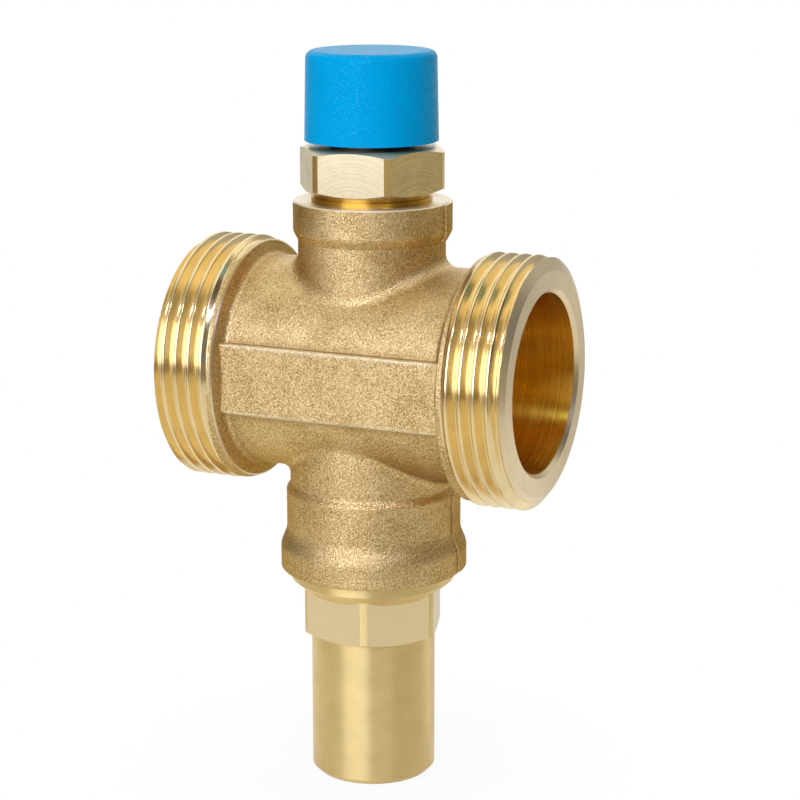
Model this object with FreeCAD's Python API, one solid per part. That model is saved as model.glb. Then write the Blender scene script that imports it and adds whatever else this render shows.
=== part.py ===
import FreeCAD, Part
import math
import os

# An anti-freeze valve for a heating pipe, in millimetres. The origin is the middle of the drain spigot's
# lower end, +Z is up, the pipe runs along X and the casting's raised pad faces -Y.

# Pipe ports, which are two equal male threads on one level bore.
PORT_REACH = 31.25
THREAD_DIAMETER = 41.91
THREAD_LENGTH = 9.25
THREAD_END_CHAMFER = 1.0
THREAD_PITCH = 2.309
THREAD_DEPTH = 1.479
THREAD_CREST_WIDTH = 0.36
THREAD_ROOT_WIDTH = 0.4
PORT_BORE_DIAMETER = 29.9
PORT_FACE_DIAMETER = 37.2
BORE_EDGE_CHAMFER = 0.65
SHOULDER_DIAMETER = 40.7
SHOULDER_WIDTH = 2.1
SHOULDER_EDGE = 0.25
SHOULDER_BACK_SLOPE = 0.9
SHOULDER_ROOT_RADIUS = 0.9

# Cast middle of the body.
BODY_DIAMETER = 35.7
PAD_HEIGHT = 12.0
PAD_FACE_OFFSET = 18.05
PAD_EDGE_RADIUS = 0.5
PARTING_STEP = 0.3
FILLET_ROOM_SHARE = 0.78

# Bottom boss, measured up from its lower face, which lies this far under the pipe's axis.
LOWER_BOSS_DROP = 34.5
LOWER_COLLAR_DIAMETER = 31.4
LOWER_COLLAR_HEIGHT = 4.2
LOWER_COLLAR_ROUNDING = 0.4
LOWER_BARREL_DIAMETER = 29.3
LOWER_NECK_DIAMETER = 28.0
LOWER_NECK_HEIGHT = 1.95
LOWER_STEP_RISE = 2.4
LOWER_STEP_ROUNDING = 3.5
LOWER_NECK_STEP_RISE = 0.8
LOWER_NECK_ROUNDING = 0.9
LOWER_FILLET = 1.5

# Top boss, measured down from its upper face, which lies this far over the pipe's axis.
UPPER_BOSS_RISE = 28.5
UPPER_COLLAR_DIAMETER = 26.2
UPPER_COLLAR_DEPTH = 5.0
UPPER_STEP_DEPTH = 1.5
UPPER_STEP_ROUNDING = 1.0
UPPER_EDGE_CHAMFER = 0.2
UPPER_NECK_DIAMETER = 24.6
UPPER_FILLET = 2.4

# Drain tail.
SPIGOT_DIAMETER = 21.2
SPIGOT_LENGTH = 25.0
SPIGOT_CHAMFER = 0.9
SPIGOT_BORE_DIAMETER = 17.2
TAIL_HEX_HEIGHT = 7.5
TAIL_HEX_TURN = 17.0
TAIL_CONE_DIAMETER = 22.8
TAIL_CONE_HEIGHT = 2.15
TAIL_FLANGE_HEIGHT = 1.85
TAIL_FLANGE_DIAMETER = 27.8
TAIL_THREAD_DIAMETER = 23.0
TAIL_THREAD_LENGTH = 9.3
SEAT_BORE_DIAMETER = 12.0
SEAT_LIP_WIDTH = 1.4
SEAT_LIP_HEIGHT = 2.5

# Both hexes take the same spanner, and their corners are turned down to a bar's diameter.
HEX_ACROSS_FLATS = 22.0
HEX_CORNER_DIAMETER = 24.7
HEX_CHAMFER = 0.75

# Vacuum breaker.
BREAKER_NECK_HEIGHT = 1.5
BREAKER_NECK_DIAMETER = 20.2
BREAKER_UNDERCUT = 0.4
BREAKER_HEX_HEIGHT = 7.5
BREAKER_HEX_TURN = 36.5
BREAKER_THREAD_DIAMETER = 19.0
BREAKER_THREAD_LENGTH = 11.7
BREAKER_AIR_BORE = 10.0
BREAKER_SEAT_LIP = 1.0
BREAKER_SEAT_DROP = 0.6
BREAKER_WEB_THICKNESS = 4.0
BREAKER_WEB_HEIGHT = 4.5
AIR_HOLE_DIAMETER = 2.0
AIR_HOLE_COUNT = 4
AIR_HOLE_TURN = 45.0
CROWN_DIAMETER = 14.0
CROWN_WALL = 1.6
CROWN_HEIGHT = 8.0
AIR_WINDOW_HEIGHT = 2.6
AIR_WINDOW_WIDTH = 4.0
SNAP_DEPTH = 0.4
SNAP_WIDTH = 1.2
SNAP_HEIGHT = 5.2

# Cap.
CAP_DIAMETER = 22.2
CAP_TOP_DIAMETER = 21.6
CAP_HEIGHT = 14.7
CAP_AIR_GAP = 0.9
CAP_WALL = 1.5
CAP_EDGE_RADIUS = 1.3
CAP_SKIRT_WALL = 1.2
CAP_SKIRT_LIP = 0.55

# Poppet of the vacuum breaker.
POPPET_DIAMETER = 15.2
POPPET_THICKNESS = 2.0
POPPET_HUB_DIAMETER = 4.3
POPPET_SEAL_DIAMETER = 14.0
POPPET_SEAL_THICKNESS = 2.0
STEM_DIAMETER = 3.0
STEM_GROOVE_DEPTH = 0.35
STEM_TIP = 1.2
BREAKER_SPRING_DIAMETER = 7.0
BREAKER_SPRING_WIRE = 0.6
BREAKER_SPRING_LENGTH = 12.0
BREAKER_SPRING_TURNS = 6
KEEPER_DIAMETER = 8.6
KEEPER_THICKNESS = 0.8
CLIP_THICKNESS = 0.7
CLIP_WALL = 1.2
CLIP_GAP = 1.6

# Shutter of the drain.
SHUTTER_LIFT = 3.0
SHUTTER_DIAMETER = 19.2
SHUTTER_THICKNESS = 1.8
SHUTTER_HUB_DIAMETER = 7.0
SHUTTER_HUB_HEIGHT = 3.8
SHUTTER_SEAL_DIAMETER = 15.6
SHUTTER_SEAL_THICKNESS = 2.0
SEAL_SCREW_DIAMETER = 4.0
SEAL_SCREW_HEAD_DIAMETER = 6.4
SEAL_SCREW_HEAD_HEIGHT = 1.8
SEAL_SCREW_SLOT = 0.8
SEAL_SCREW_REACH = 2.2
SEAL_WASHER_DIAMETER = 9.6
SEAL_WASHER_THICKNESS = 0.8
RETURN_SPRING_DIAMETER = 17.3
RETURN_SPRING_WIRE = 0.8
RETURN_SPRING_TURNS = 3

# Temperature element and its cage.
CAGE_WALL = 1.4
CAGE_FOOT_HEIGHT = 2.0
CAGE_PLATE_THICKNESS = 2.5
CAGE_LEGS = 3
CAGE_LEG_TURN = 30.0
CAGE_LEG_WIDTH = 6.0
CAGE_HUB_WALL = 2.0
GUIDE_DIAMETER = 8.8
GUIDE_FLANGE_DIAMETER = 12.6
GUIDE_FLANGE_THICKNESS = 1.5
GUIDE_TAIL = 0.8
GUIDE_PLUG_LENGTH = 4.0
GUIDE_GROOVE_DEPTH = 0.4
CUP_LENGTH = 13.0
CUP_NOSE_RADIUS = 2.5
PISTON_DIAMETER = 3.0
PISTON_SOCKET = 1.0
PISTON_IN_GUIDE = 7.8

# Rubber rings between threaded pieces.
O_RING_SECTION = 1.6
BREAKER_O_RING_SECTION = 1.2
BREAKER_O_RING_DEPTH = 2.8

# Clearances.
THREAD_FIT = 0.05
RUNNING_FIT = 0.05
SEAT_GAP = 0.1
RING_SQUEEZE = 0.02
LOOSE_FIT = 0.3
PIECE_GAP = 0.05

# Heights and radii that follow from the sizes above.
tail_hex_low = SPIGOT_LENGTH
tail_cone_low = tail_hex_low + TAIL_HEX_HEIGHT
tail_flange_low = tail_cone_low + TAIL_CONE_HEIGHT
lower_face = tail_flange_low + TAIL_FLANGE_HEIGHT
port_axis = lower_face + LOWER_BOSS_DROP
lower_neck_low = port_axis - BODY_DIAMETER / 2 - LOWER_NECK_HEIGHT
lower_barrel_high = lower_neck_low - LOWER_NECK_STEP_RISE
upper_face = port_axis + UPPER_BOSS_RISE
breaker_hex_low = upper_face + BREAKER_NECK_HEIGHT
breaker_hex_high = breaker_hex_low + BREAKER_HEX_HEIGHT
cap_low = breaker_hex_high + CAP_AIR_GAP
cap_high = cap_low + CAP_HEIGHT
spring_ledge = lower_face + TAIL_THREAD_LENGTH
drain_seat = spring_ledge + SEAT_LIP_HEIGHT
shutter_seal_low = drain_seat + SEAT_GAP
shutter_low = shutter_seal_low + SHUTTER_SEAL_THICKNESS
shutter_high = shutter_low + SHUTTER_THICKNESS
shutter_hub_high = shutter_high + SHUTTER_HUB_HEIGHT
guide_low = shutter_hub_high + SHUTTER_LIFT + 2 * LOOSE_FIT
cage_plate_low = guide_low + GUIDE_TAIL + CLIP_THICKNESS
cage_plate_high = cage_plate_low + CAGE_PLATE_THICKNESS
cup_low = cage_plate_high + GUIDE_FLANGE_THICKNESS
guide_high = cup_low + GUIDE_PLUG_LENGTH
cup_high = cup_low + CUP_LENGTH
piston_low = shutter_hub_high - PISTON_SOCKET
piston_high = guide_low + PISTON_IN_GUIDE
breaker_seat = upper_face - BREAKER_THREAD_LENGTH
poppet_seal_high = breaker_seat - SEAT_GAP
poppet_high = poppet_seal_high - POPPET_SEAL_THICKNESS
web_low = breaker_seat + BREAKER_WEB_HEIGHT
web_high = web_low + BREAKER_WEB_THICKNESS
keeper_low = web_high + BREAKER_SPRING_LENGTH
keeper_high = keeper_low + KEEPER_THICKNESS
stem_high = keeper_high + CLIP_THICKNESS + STEM_TIP

X_AXIS = FreeCAD.Vector(1, 0, 0)
Y_AXIS = FreeCAD.Vector(0, 1, 0)
Z_AXIS = FreeCAD.Vector(0, 0, 1)
ORIGIN = FreeCAD.Vector(0, 0, 0)
SAME = 1e-4


def outline(points):
    """Closed flat face through points given as (along X, along Z)."""
    corners = [FreeCAD.Vector(across, 0, up) for across, up in points]
    return Part.Face(Part.makePolygon(corners + corners[:1]))


def turned(points, sweep=360):
    """Solid turned about the Z axis from a profile of (radius, height) points."""
    return outline(points).revolve(ORIGIN, Z_AXIS, sweep)


def turned_on_pipe(points):
    """Solid turned about the pipe's axis from a profile of (place along X, radius) points."""
    solid = outline(points).revolve(ORIGIN, X_AXIS, 360)
    solid.translate(FreeCAD.Vector(0, 0, port_axis))
    return solid


def rod(radius, low, high):
    return Part.makeCylinder(radius, high - low, FreeCAD.Vector(0, 0, low))


def tube(inner, outer, low, high):
    return rod(outer, low, high).cut(rod(inner, low, high))


def block(size, middle):
    corner = FreeCAD.Vector(*[place - length / 2 for place, length in zip(middle, size)])
    return Part.makeBox(*size, corner)


def around(shape, count, start=0):
    """Copies of a shape spread evenly about the Z axis, in one compound."""
    copies = []
    for index in range(count):
        copy = shape.copy()
        copy.rotate(ORIGIN, Z_AXIS, start + index * 360 / count)
        copies.append(copy)
    return Part.makeCompound(copies)


def ring_edges(shape, radius, height):
    """Circular edges about the Z axis with this radius, at this height."""
    found = []
    for edge in shape.Edges:
        if not isinstance(edge.Curve, Part.Circle):
            continue
        if abs(edge.Curve.Radius - radius) < SAME and abs(edge.Curve.Center.z - height) < SAME:
            found.append(edge)
    return found


def pipe_ring_edges(shape, radius, place):
    """Circular edges about the pipe's axis with this radius, at this distance to either side."""
    found = []
    for edge in shape.Edges:
        if not isinstance(edge.Curve, Part.Circle):
            continue
        if abs(edge.Curve.Radius - radius) < SAME and abs(abs(edge.Curve.Center.x) - place) < SAME:
            found.append(edge)
    return found


def boss_edges(shape, radius, upper):
    """Edges where a boss of this radius runs into the casting's level barrel."""
    found = []
    for edge in shape.Edges:
        first, last = edge.ParameterRange
        places = [edge.valueAt(first + share * (last - first)) for share in (0.1, 0.5, 0.9)]
        on_boss = all(abs(math.hypot(p.x, p.y) - radius) < SAME for p in places)
        on_body = all(abs(math.hypot(p.y, p.z - port_axis) - BODY_DIAMETER / 2) < SAME for p in places)
        if on_boss and on_body and (places[1].z > port_axis) == upper:
            found.append(edge)
    return found


def rounded(shape, corners):
    """Rounds ring edges about the Z axis, each given as (radius, height, rounding)."""
    for radius, height, rounding in corners:
        shape = shape.makeFillet(rounding, ring_edges(shape, radius, height))
    return shape


def hexagon(low, high, turn):
    """Spanner hex with turned-down corners, chamfered at both ends."""
    reach = HEX_ACROSS_FLATS / math.sqrt(3)
    corners = []
    for index in range(6):
        angle = math.radians(turn - 90 + 60 * index)
        corners.append(FreeCAD.Vector(reach * math.cos(angle), reach * math.sin(angle), low))
    prism = Part.Face(Part.makePolygon(corners + corners[:1])).extrude(FreeCAD.Vector(0, 0, high - low))
    bar_radius = HEX_CORNER_DIAMETER / 2
    end_radius = HEX_ACROSS_FLATS / 2 - HEX_CHAMFER / 2
    bar = turned([(0, low), (end_radius, low), (bar_radius, low + HEX_CHAMFER),
                  (bar_radius, high - HEX_CHAMFER), (end_radius, high), (0, high)])
    return prism.common(bar)


def coil(mean_diameter, wire, low, high, turns):
    """Compression spring of round wire. Each half turn is an arc tilted to rise by half the pitch."""
    rise = (high - low - wire) / (2 * turns)
    half_turns = []
    for index in range(2 * turns):
        side = 1 - 2 * (index % 2)
        height = low + wire / 2 + index * rise
        start = FreeCAD.Vector(side * mean_diameter / 2, 0, height)
        section = Part.Face(Part.Wire(Part.makeCircle(wire / 2, start, Y_AXIS)))
        middle = FreeCAD.Vector(0, 0, height + rise / 2)
        half_turns.append(section.revolve(middle, FreeCAD.Vector(side * rise, 0, mean_diameter), 180))
    return half_turns[0].fuse(half_turns[1:])


def split_ring(inner, wall, low, high):
    """Spring clip, an open ring with its gap on the front."""
    ring = tube(inner, inner + wall, low, high)
    reach = 2 * (inner + wall)
    return ring.cut(block((CLIP_GAP, reach, high - low), (0, -reach / 2, (low + high) / 2)))


def o_ring(section, middle_radius, height):
    return Part.makeTorus(middle_radius, section / 2, FreeCAD.Vector(0, 0, height), Z_AXIS)


def thread_grooves():
    """Grooves of the thread's form as rings round both ports, from the shoulders out past the end faces."""
    crest = THREAD_DIAMETER / 2
    root = crest - THREAD_DEPTH
    mouth = THREAD_PITCH - THREAD_CREST_WIDTH
    flank = (mouth - THREAD_ROOT_WIDTH) / 2
    grooves = []
    for index in range(math.ceil(THREAD_LENGTH / THREAD_PITCH)):
        near = PORT_REACH - THREAD_LENGTH + index * THREAD_PITCH + THREAD_CREST_WIDTH
        far = near + mouth
        section = [(near, crest), (near + flank, root), (far - flank, root), (far, crest)]
        grooves.append(turned_on_pipe(section))
        grooves.append(turned_on_pipe([(-across, radius) for across, radius in section]))
    return grooves


def pipe_barrel():
    """Level part of the casting: the barrel, both shoulders and both threads."""
    body = BODY_DIAMETER / 2
    thread = THREAD_DIAMETER / 2
    shoulder = SHOULDER_DIAMETER / 2
    thread_start = PORT_REACH - THREAD_LENGTH
    shoulder_start = thread_start - SHOULDER_WIDTH
    half = [(shoulder_start - SHOULDER_BACK_SLOPE, body),
            (shoulder_start, shoulder - SHOULDER_EDGE),
            (shoulder_start + SHOULDER_EDGE, shoulder),
            (thread_start, shoulder),
            (thread_start, thread),
            (PORT_REACH - THREAD_END_CHAMFER, thread),
            (PORT_REACH, PORT_FACE_DIAMETER / 2),
            (PORT_REACH, 0)]
    other_half = [(-across, radius) for across, radius in reversed(half)]
    barrel = turned_on_pipe(other_half + half)
    roots = pipe_ring_edges(barrel, body, shoulder_start - SHOULDER_BACK_SLOPE)
    return barrel.makeFillet(SHOULDER_ROOT_RADIUS, roots).cut(thread_grooves())


def lower_boss():
    """Collar, barrel and neck below the pipe; the neck's rounding keeps clear of the fillet above it."""
    collar = LOWER_COLLAR_DIAMETER / 2
    barrel = LOWER_BARREL_DIAMETER / 2
    neck = LOWER_NECK_DIAMETER / 2
    neck_room = (1 - FILLET_ROOM_SHARE) * LOWER_NECK_HEIGHT
    neck_bend = math.atan2(abs(barrel - neck), LOWER_NECK_STEP_RISE)
    neck_rounding = min(LOWER_NECK_ROUNDING, FILLET_ROOM_SHARE * neck_room / math.tan(neck_bend / 2))
    collar_high = lower_face + LOWER_COLLAR_HEIGHT
    boss = turned([(0, lower_face), (collar, lower_face), (collar, collar_high),
                   (barrel, collar_high + LOWER_STEP_RISE), (barrel, lower_barrel_high),
                   (neck, lower_neck_low), (neck, port_axis), (0, port_axis)])
    return rounded(boss, [(collar, lower_face, LOWER_COLLAR_ROUNDING),
                          (collar, collar_high, LOWER_STEP_ROUNDING),
                          (barrel, collar_high + LOWER_STEP_RISE, LOWER_STEP_ROUNDING),
                          (barrel, lower_barrel_high, neck_rounding),
                          (neck, lower_neck_low, neck_rounding)])


def upper_boss():
    collar = UPPER_COLLAR_DIAMETER / 2
    neck = UPPER_NECK_DIAMETER / 2
    collar_low = upper_face - UPPER_COLLAR_DEPTH
    boss = turned([(0, port_axis), (neck, port_axis), (neck, collar_low - UPPER_STEP_DEPTH),
                   (collar, collar_low), (collar, upper_face - UPPER_EDGE_CHAMFER),
                   (collar - UPPER_EDGE_CHAMFER, upper_face), (0, upper_face)])
    return rounded(boss, [(collar, collar_low, UPPER_STEP_ROUNDING)])


def parting_steps():
    """The rear mould half stands a little proud of the front one on both bosses."""
    inside = UPPER_NECK_DIAMETER / 2 - PARTING_STEP
    neck = UPPER_NECK_DIAMETER / 2 + PARTING_STEP
    collar = UPPER_COLLAR_DIAMETER / 2 + PARTING_STEP
    collar_low = upper_face - UPPER_COLLAR_DEPTH
    upper = turned([(inside, collar_low - UPPER_STEP_DEPTH), (neck, collar_low - UPPER_STEP_DEPTH),
                    (collar, collar_low), (collar, upper_face - UPPER_EDGE_CHAMFER),
                    (inside, upper_face - UPPER_EDGE_CHAMFER)], 180)
    upper = rounded(upper, [(collar, collar_low, UPPER_STEP_ROUNDING)])
    inside = LOWER_BARREL_DIAMETER / 2 - PARTING_STEP
    barrel = LOWER_BARREL_DIAMETER / 2 + PARTING_STEP
    collar = LOWER_COLLAR_DIAMETER / 2 + PARTING_STEP
    collar_low = lower_face + LOWER_COLLAR_ROUNDING
    collar_high = lower_face + LOWER_COLLAR_HEIGHT
    lower = turned([(inside, collar_low), (collar, collar_low), (collar, collar_high),
                    (barrel, collar_high + LOWER_STEP_RISE), (barrel, lower_barrel_high),
                    (inside, lower_barrel_high)], 180)
    lower = rounded(lower, [(collar, collar_high, LOWER_STEP_ROUNDING),
                            (barrel, collar_high + LOWER_STEP_RISE, LOWER_STEP_ROUNDING),
                            (barrel, lower_barrel_high, PARTING_STEP)])
    return [upper, lower]


def front_pad():
    """Flat panel on the front of the barrel, which runs from shoulder to shoulder."""
    length = 2 * (PORT_REACH - THREAD_LENGTH - SHOULDER_WIDTH)
    depth = PAD_FACE_OFFSET - PORT_BORE_DIAMETER / 2
    middle = (0, -PAD_FACE_OFFSET + depth / 2, port_axis)
    pad = block((length, depth, PAD_HEIGHT), middle)
    long_edges = []
    for edge in pad.Edges:
        centre = edge.CenterOfMass
        if abs(centre.x) < SAME and abs(centre.y + PAD_FACE_OFFSET) < SAME:
            long_edges.append(edge)
    return pad.makeFillet(PAD_EDGE_RADIUS, long_edges)


def body_bores():
    bore = PORT_BORE_DIAMETER / 2
    mouth = bore + BORE_EDGE_CHAMFER
    half = [(PORT_REACH - BORE_EDGE_CHAMFER, bore), (PORT_REACH, mouth), (PORT_REACH, 0)]
    other_half = [(-across, radius) for across, radius in reversed(half)]
    pipe = turned_on_pipe(other_half + half)
    upper = rod(BREAKER_THREAD_DIAMETER / 2 + THREAD_FIT, port_axis, upper_face)
    lower_radius = TAIL_THREAD_DIAMETER / 2 + THREAD_FIT
    lower = rod(lower_radius, lower_face, port_axis)
    ring_recess = rod(lower_radius + O_RING_SECTION, lower_face, lower_face + O_RING_SECTION + PIECE_GAP)
    return [pipe, upper, lower, ring_recess]


def boss_fillet(radius, neck, neck_height):
    """Fillet round a boss, limited by the boss's neck and by the barrel between it and the shoulder's foot."""
    shoulder_foot = PORT_REACH - THREAD_LENGTH - SHOULDER_WIDTH - SHOULDER_BACK_SLOPE
    room = min(neck_height, shoulder_foot - SHOULDER_ROOT_RADIUS - neck)
    return min(radius, FILLET_ROOM_SHARE * room)


def valve_body():
    """One casting with its machined threads, faces and bores."""
    upper_neck = UPPER_NECK_DIAMETER / 2
    lower_neck = LOWER_NECK_DIAMETER / 2
    upper_neck_height = UPPER_BOSS_RISE - UPPER_COLLAR_DEPTH - UPPER_STEP_DEPTH - BODY_DIAMETER / 2
    upper_fillet = boss_fillet(UPPER_FILLET, upper_neck, upper_neck_height)
    lower_fillet = boss_fillet(LOWER_FILLET, lower_neck, LOWER_NECK_HEIGHT)
    casting = pipe_barrel().fuse([lower_boss(), upper_boss()])
    casting = casting.makeFillet(upper_fillet, boss_edges(casting, upper_neck, True))
    casting = casting.makeFillet(lower_fillet, boss_edges(casting, lower_neck, False))
    casting = casting.fuse([front_pad()] + parting_steps())
    return casting.cut(body_bores())


def drain_tail():
    """Turned tail: spigot, hex that runs up into the cone of the flange, thread and raised drain seat."""
    spigot = SPIGOT_DIAMETER / 2
    flange = TAIL_FLANGE_DIAMETER / 2
    thread = TAIL_THREAD_DIAMETER / 2
    lip = SEAT_BORE_DIAMETER / 2 + SEAT_LIP_WIDTH
    outside = turned([(0, 0), (spigot - SPIGOT_CHAMFER, 0), (spigot, SPIGOT_CHAMFER),
                      (spigot, tail_cone_low), (TAIL_CONE_DIAMETER / 2, tail_cone_low),
                      (flange, tail_flange_low), (flange, lower_face),
                      (thread, lower_face), (thread, spring_ledge), (lip, spring_ledge),
                      (lip, drain_seat), (0, drain_seat)])
    outside = outside.fuse(hexagon(tail_hex_low, tail_flange_low, TAIL_HEX_TURN))
    bore = SPIGOT_BORE_DIAMETER / 2
    seat = SEAT_BORE_DIAMETER / 2
    cone_low = lower_face
    cone_high = cone_low + bore - seat
    return outside.cut(turned([(0, 0), (bore, 0), (bore, cone_low), (seat, cone_high), (seat, drain_seat),
                               (0, drain_seat)]))


def tail_o_ring():
    middle = TAIL_THREAD_DIAMETER / 2 + THREAD_FIT + O_RING_SECTION / 2
    return o_ring(O_RING_SECTION - RING_SQUEEZE, middle, lower_face + O_RING_SECTION / 2)


def breaker_housing():
    """Hex plug with the air seat below, the stem's web inside and the cap's crown on top."""
    thread = BREAKER_THREAD_DIAMETER / 2
    neck = BREAKER_NECK_DIAMETER / 2
    air = BREAKER_AIR_BORE / 2
    lip = air + BREAKER_SEAT_LIP
    crown = CROWN_DIAMETER / 2
    crown_high = breaker_hex_high + CROWN_HEIGHT
    snap_low = breaker_hex_high + SNAP_HEIGHT
    groove_low = upper_face - BREAKER_O_RING_DEPTH - BREAKER_O_RING_SECTION - PIECE_GAP
    groove_high = upper_face - BREAKER_O_RING_DEPTH + PIECE_GAP
    groove = thread + THREAD_FIT - BREAKER_O_RING_SECTION
    neck_ring = upper_face + BREAKER_NECK_HEIGHT / 2
    plug = turned([(0, breaker_seat), (lip, breaker_seat), (lip, breaker_seat + BREAKER_SEAT_DROP),
                   (thread, breaker_seat + BREAKER_SEAT_DROP),
                   (thread, groove_low), (groove, groove_low), (groove, groove_high), (thread, groove_high),
                   (thread, upper_face), (neck, upper_face), (neck, neck_ring),
                   (neck - BREAKER_UNDERCUT, neck_ring), (neck - BREAKER_UNDERCUT, breaker_hex_low),
                   (crown, breaker_hex_low), (crown, breaker_hex_high),
                   (crown, snap_low), (crown - SNAP_DEPTH, snap_low),
                   (crown - SNAP_DEPTH, snap_low + SNAP_WIDTH), (crown, snap_low + SNAP_WIDTH),
                   (crown, crown_high), (0, crown_high)])
    plug = plug.fuse(hexagon(breaker_hex_low, breaker_hex_high, BREAKER_HEX_TURN))
    stem_hole = STEM_DIAMETER / 2 + RUNNING_FIT
    air_hole_circle = (air + stem_hole) / 2
    air_hole = Part.makeCylinder(AIR_HOLE_DIAMETER / 2, BREAKER_WEB_THICKNESS,
                                 FreeCAD.Vector(air_hole_circle, 0, web_low))
    window_middle = breaker_hex_high + CAP_AIR_GAP + AIR_WINDOW_HEIGHT / 2
    window = block((2 * crown, AIR_WINDOW_WIDTH, AIR_WINDOW_HEIGHT), (crown, 0, window_middle))
    return plug.cut([rod(air, breaker_seat, web_low), rod(stem_hole, web_low, web_high),
                     rod(crown - CROWN_WALL, web_high, crown_high),
                     around(air_hole, AIR_HOLE_COUNT, AIR_HOLE_TURN), around(window, AIR_HOLE_COUNT)])


def breaker_o_ring():
    middle = BREAKER_THREAD_DIAMETER / 2 + THREAD_FIT - BREAKER_O_RING_SECTION / 2
    height = upper_face - BREAKER_O_RING_DEPTH - BREAKER_O_RING_SECTION / 2
    return o_ring(BREAKER_O_RING_SECTION - RING_SQUEEZE, middle, height)


def breaker_cap():
    """Moulded cap with a tapered wall, a rounded top edge and a snap skirt inside."""
    low_radius = CAP_DIAMETER / 2
    top_radius = CAP_TOP_DIAMETER / 2
    roof = cap_high - CAP_WALL
    shell = turned([(0, cap_low), (low_radius, cap_low), (top_radius, cap_high), (0, cap_high)])
    shell = shell.makeFillet(CAP_EDGE_RADIUS, ring_edges(shell, top_radius, cap_high))
    shell = shell.cut(turned([(0, cap_low), (low_radius - CAP_WALL, cap_low), (top_radius - CAP_WALL, roof),
                              (0, roof)]))
    skirt = CROWN_DIAMETER / 2 + PIECE_GAP
    bead_low = breaker_hex_high + SNAP_HEIGHT + PIECE_GAP
    skirt_low = bead_low - CAP_SKIRT_LIP
    bead_high = bead_low + SNAP_WIDTH - 2 * PIECE_GAP
    bead = CROWN_DIAMETER / 2 - SNAP_DEPTH + PIECE_GAP
    skirt_outer = skirt + CAP_SKIRT_WALL
    inside = turned([(skirt, skirt_low), (skirt_outer, skirt_low), (skirt_outer, roof), (skirt, roof),
                     (skirt, bead_high), (bead, bead_high), (bead, bead_low), (skirt, bead_low)])
    return shell.fuse(inside)


def breaker_poppet():
    """Disc, hub and stem turned in one piece, with a groove for the clip."""
    disc = POPPET_DIAMETER / 2
    hub = POPPET_HUB_DIAMETER / 2
    stem = STEM_DIAMETER / 2
    poppet_low = poppet_high - POPPET_THICKNESS
    return turned([(0, poppet_low), (disc, poppet_low), (disc, poppet_high), (hub, poppet_high),
                   (hub, poppet_seal_high), (stem, poppet_seal_high), (stem, keeper_high),
                   (stem - STEM_GROOVE_DEPTH, keeper_high),
                   (stem - STEM_GROOVE_DEPTH, keeper_high + CLIP_THICKNESS),
                   (stem, keeper_high + CLIP_THICKNESS), (stem, stem_high), (0, stem_high)])


def poppet_seal():
    inner = POPPET_HUB_DIAMETER / 2 + PIECE_GAP
    return tube(inner, POPPET_SEAL_DIAMETER / 2, poppet_high, poppet_seal_high)


def breaker_spring():
    return coil(BREAKER_SPRING_DIAMETER, BREAKER_SPRING_WIRE, web_high, keeper_low, BREAKER_SPRING_TURNS)


def spring_keeper():
    return tube(STEM_DIAMETER / 2 + PIECE_GAP, KEEPER_DIAMETER / 2, keeper_low, keeper_high)


def keeper_clip():
    inner = STEM_DIAMETER / 2 - STEM_GROOVE_DEPTH + PIECE_GAP
    return split_ring(inner, CLIP_WALL, keeper_high, keeper_high + CLIP_THICKNESS)


def drain_shutter():
    """Disc and hub with a screw hole below and a socket for the piston above."""
    disc = rod(SHUTTER_DIAMETER / 2, shutter_low, shutter_high)
    hub = rod(SHUTTER_HUB_DIAMETER / 2, shutter_high, shutter_hub_high)
    hole_high = shutter_low + SEAL_SCREW_REACH + PIECE_GAP
    screw_hole = rod(SEAL_SCREW_DIAMETER / 2 + PIECE_GAP, shutter_low, hole_high)
    socket = rod(PISTON_DIAMETER / 2 + PIECE_GAP, piston_low, shutter_hub_high)
    return disc.fuse(hub).cut([screw_hole, socket])


def shutter_seal():
    inner = SEAL_SCREW_DIAMETER / 2 + PIECE_GAP
    return tube(inner, SHUTTER_SEAL_DIAMETER / 2, shutter_seal_low, shutter_low)


def seal_washer():
    washer_low = shutter_seal_low - SEAL_WASHER_THICKNESS
    return tube(SEAL_SCREW_DIAMETER / 2 + PIECE_GAP, SEAL_WASHER_DIAMETER / 2, washer_low, shutter_seal_low)


def seal_screw():
    head_high = shutter_seal_low - SEAL_WASHER_THICKNESS
    head_low = head_high - SEAL_SCREW_HEAD_HEIGHT
    head = rod(SEAL_SCREW_HEAD_DIAMETER / 2, head_low, head_high)
    shank = rod(SEAL_SCREW_DIAMETER / 2, head_high, shutter_low + SEAL_SCREW_REACH)
    slot = block((SEAL_SCREW_HEAD_DIAMETER, SEAL_SCREW_SLOT, SEAL_SCREW_HEAD_HEIGHT), (0, 0, head_low))
    return head.fuse(shank).cut(slot)


def return_spring():
    return coil(RETURN_SPRING_DIAMETER, RETURN_SPRING_WIRE, spring_ledge, shutter_low, RETURN_SPRING_TURNS)


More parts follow.
